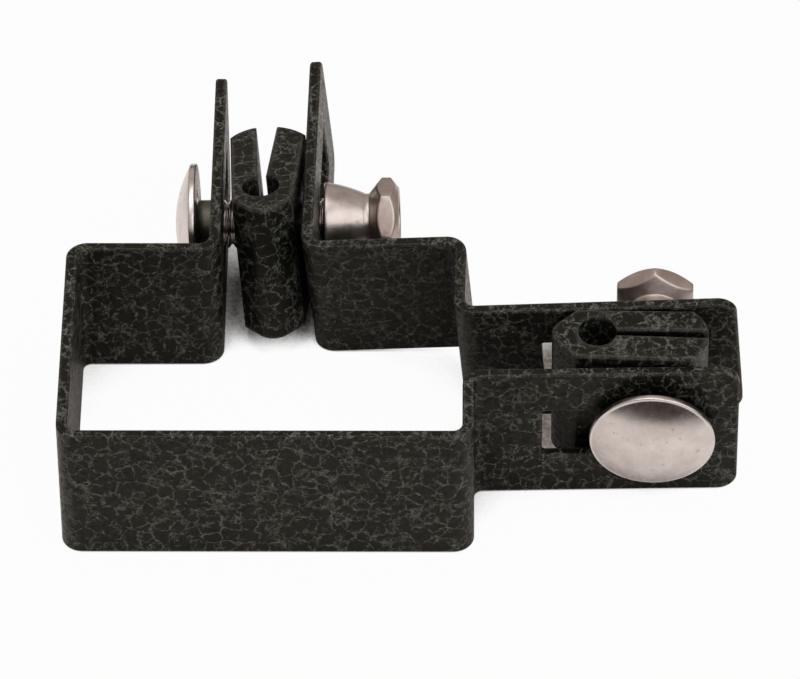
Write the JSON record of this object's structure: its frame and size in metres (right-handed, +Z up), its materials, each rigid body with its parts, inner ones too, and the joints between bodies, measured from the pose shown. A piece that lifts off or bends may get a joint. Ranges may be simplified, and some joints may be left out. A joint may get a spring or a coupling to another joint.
{
  "type": "fence post corner clamp",
  "caption": "Two-piece strap clamp that goes round a rectangular fence post, with slotted ears, bolts, shear nuts and split clips that hold mesh panels on two sides.",
  "frame": {"origin": "on the axis of the post that the long strap goes round, in the plane that the clamp stands on", "axes": "+X from the post to the side flanges, +Y from the post to the rear ears, +Z up the post"},
  "size_m": [0.1072, 0.0864, 0.029],
  "materials": {
    "powder_coat": "satin",
    "clip_coat": "satin",
    "bright_fastener": "polished"
  },
  "bodies": {
    "root": {"long_strap": "powder_coat", "short_strap": "powder_coat", "side_panel_clip": "clip_coat", "rear_panel_clip": "clip_coat", "side_carriage_bolt": "bright_fastener", "rear_carriage_bolt": "bright_fastener", "side_shear_nut": "bright_fastener", "rear_shear_nut": "bright_fastener"}
  },
  "joints": []
}
